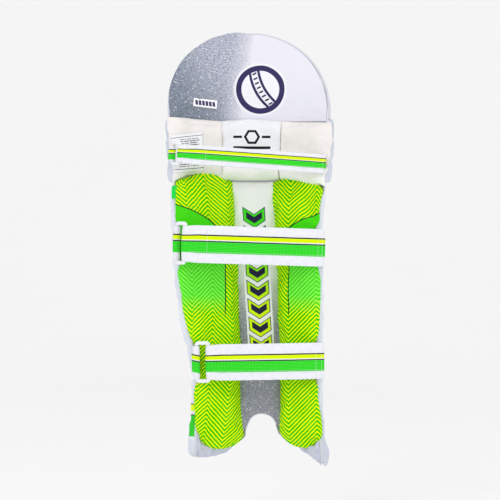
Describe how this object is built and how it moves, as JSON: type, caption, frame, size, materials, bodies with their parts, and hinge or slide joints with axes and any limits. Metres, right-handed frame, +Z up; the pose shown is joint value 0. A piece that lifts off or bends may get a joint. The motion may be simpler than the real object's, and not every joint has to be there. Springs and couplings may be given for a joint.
{
  "type": "cricket leg pad",
  "caption": "Curved batting leg pad with caned shin ribs, knee rolls, flexing top hat, bolstered leg side and hook-and-loop straps that pass round rings.",
  "frame": {"origin": "the middle of the wearer's knee, on the leg's axis", "axes": "+Z up the leg, +Y out of the batting face towards the ball, +X towards the wearer's other leg"},
  "size_m": [0.2796, 0.148, 0.7073],
  "materials": {
    "white_face": "white polyurethane-coated fabric, fine grain, semi-matte",
    "chevron_fabric": "padded fabric printed with yellow and green chevrons",
    "grey_print": "coated fabric printed grey with a pebbled pattern that fades to white",
    "knee_fabric": "soft white padded lining",
    "strap_webbing": "white brushed hook-and-loop webbing with printed stripes",
    "green_webbing": "bright green woven tape",
    "hook_tape": "nylon hook tape",
    "ring_plastic": "moulded white plastic",
    "foam": "high density foam sheet",
    "cane": "split cane",
    "impact_plastic": "moulded impact insert"
  },
  "bodies": {
    "shin": {"shin_core": "foam", "shin_rib_1": "white_face", "shin_rib_2": "white_face", "shin_rib_3": "white_face", "shin_rib_4": "white_face", "shin_rib_5": "white_face", "shin_rib_6": "white_face", "shin_rib_7": "white_face", "cane_1": "cane", "cane_2": "cane", "cane_3": "cane", "cane_4": "cane", "cane_5": "cane", "cane_6": "cane", "cane_7": "cane", "instep_guard": "white_face", "side_wing": "white_face", "outer_ankle_wing": "white_face", "inner_wing": "white_face", "bolster_outer": "chevron_fabric", "bolster_inner": "chevron_fabric", "channel_liner": "grey_print", "boot_cup_outer": "white_face", "boot_cup_inner": "white_face", "side_tab": "green_webbing", "calf_strap_base": "strap_webbing", "ankle_strap_base": "strap_webbing", "calf_keeper": "strap_webbing", "ankle_keeper": "strap_webbing"},
    "knee": {"knee_core": "foam", "knee_roll_lower": "white_face", "knee_roll_middle": "white_face", "knee_roll_upper": "white_face", "knee_locator_outer": "knee_fabric", "knee_locator_centre": "knee_fabric", "knee_locator_inner": "knee_fabric", "knee_cradle_centre": "knee_fabric", "knee_cradle_inner": "knee_fabric", "knee_insert": "impact_plastic", "knee_strap_base": "strap_webbing", "knee_keeper": "strap_webbing"},
    "top_hat": {"top_hat_foam": "foam", "top_hat_liner": "grey_print", "top_hat_face": "white_face", "top_hat_binding": "white_face"},
    "knee_ring": {"knee_ring": "ring_plastic"},
    "knee_tail": {"knee_strap_tail": "strap_webbing", "knee_strap_tape": "green_webbing", "knee_hook_patch": "hook_tape"},
    "calf_ring": {"calf_ring": "ring_plastic"},
    "calf_tail": {"calf_strap_tail": "strap_webbing", "calf_strap_tape": "green_webbing", "calf_hook_patch": "hook_tape"},
    "ankle_ring": {"ankle_ring": "ring_plastic"},
    "ankle_tail": {"ankle_strap_tail": "strap_webbing", "ankle_strap_tape": "green_webbing", "ankle_hook_patch": "hook_tape"}
  },
  "joints": [
    {"name": "knee_flex", "type": "hinge", "parent": "shin", "child": "knee", "pos_m": [0, 0.047, -0.05], "axis": [-1, 0, 0], "range_deg": [-6, 12], "stiffness_Nm_per_rad": 6},
    {"name": "top_hat_flex", "type": "hinge", "parent": "knee", "child": "top_hat", "pos_m": [0, 0.053, 0.051], "axis": [-1, 0, 0], "range_deg": [-5, 30], "stiffness_Nm_per_rad": 2.5},
    {"name": "knee_ring_swing", "type": "hinge", "parent": "knee", "child": "knee_ring", "pos_m": [-0.12571, -0.034, -0.00743], "axis": [-0.068, 0, -0.9977], "range_deg": [0, 35]},
    {"name": "knee_tail_peel", "type": "hinge", "parent": "knee_ring", "child": "knee_tail", "pos_m": [-0.1146, -0.05181, -0.00819], "axis": [-0.068, 0, -0.9977], "range_deg": [0, 150]},
    {"name": "calf_ring_swing", "type": "hinge", "parent": "shin", "child": "calf_ring", "pos_m": [-0.11894, -0.044, -0.15326], "axis": [-0.0314, 0, -0.9995], "range_deg": [0, 35]},
    {"name": "calf_tail_peel", "type": "hinge", "parent": "calf_ring", "child": "calf_tail", "pos_m": [-0.1049, -0.05961, -0.1537], "axis": [-0.0314, 0, -0.9995], "range_deg": [0, 150]},
    {"name": "ankle_ring_swing", "type": "hinge", "parent": "shin", "child": "ankle_ring", "pos_m": [-0.08699, -0.036, -0.34837], "axis": [0.0157, 0, -0.9999], "range_deg": [0, 35]},
    {"name": "ankle_tail_peel", "type": "hinge", "parent": "ankle_ring", "child": "ankle_tail", "pos_m": [-0.06631, -0.03965, -0.34804], "axis": [0.0157, 0, -0.9999], "range_deg": [0, 120]}
  ]
}
